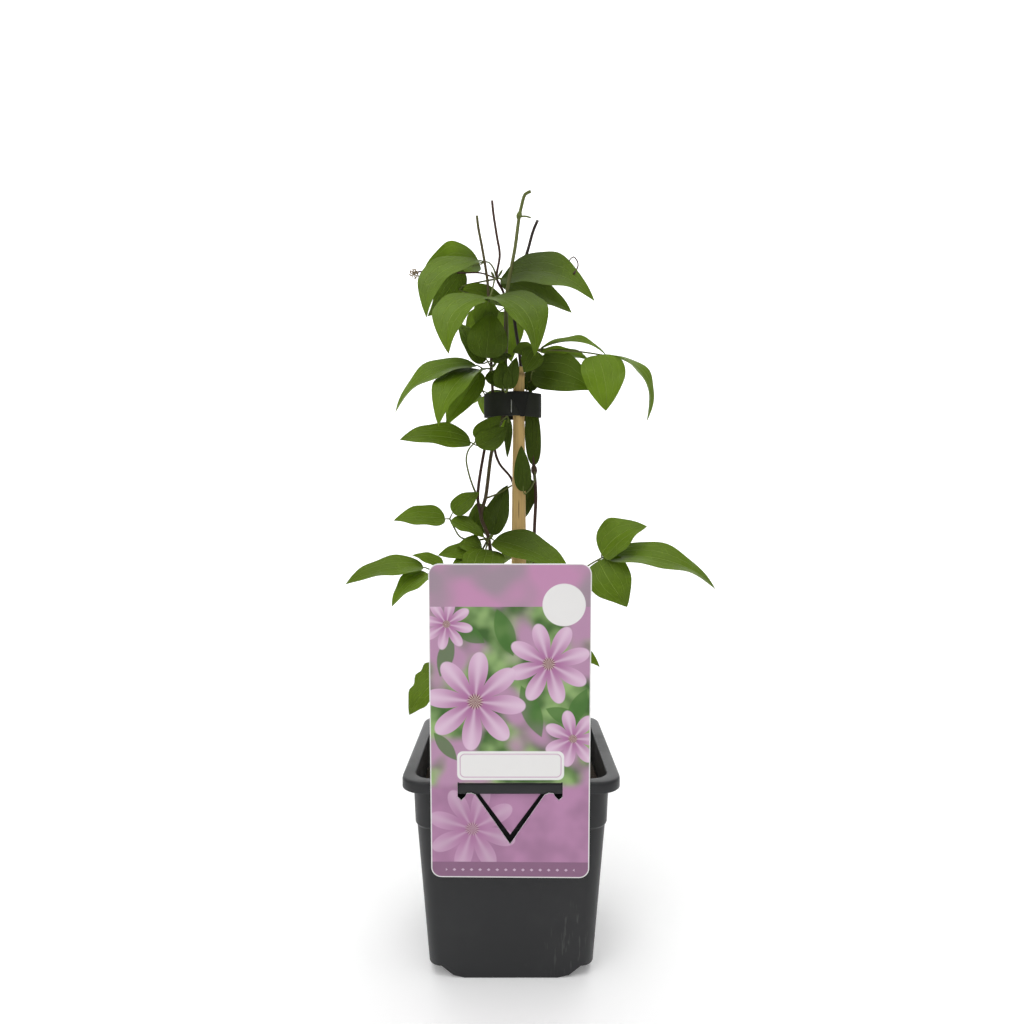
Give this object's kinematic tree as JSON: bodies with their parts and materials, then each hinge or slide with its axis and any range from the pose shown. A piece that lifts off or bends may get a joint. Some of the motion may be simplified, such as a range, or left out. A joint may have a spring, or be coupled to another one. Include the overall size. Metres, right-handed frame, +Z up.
{
  "type": "potted young clematis plant",
  "caption": "Young climbing plant in a square nursery pot, its leafy stems tied to a bamboo cane, with a printed hang label hooked through the pot's rim.",
  "frame": {"origin": "middle of the bottom face of the whole plant's bounding box, on the surface that the pot stands on", "axes": "+Z up; the label faces -Y; +X to the right as the label is read"},
  "size_m": [0.227, 0.1416, 0.4891],
  "materials": {
    "pot_plastic": "charcoal moulded plastic, slight sheen, light scuffs",
    "soil": "dark crumbly peat mix",
    "bamboo": "dry tan bamboo with fine lengthwise grain",
    "tie_band": "black flat plastic band",
    "label_film": "printed plastic card, satin",
    "foliage": "living leaves and stems, satin green with pale veins"
  },
  "bodies": {
    "root": {"pot": "pot_plastic", "soil": "soil", "cane": "bamboo", "tie": "tie_band", "label": "label_film", "stem_main": "foliage", "stem_back": "foliage", "stem_right": "foliage", "shoot_left": "foliage", "shoot_right": "foliage"}
  },
  "joints": []
}
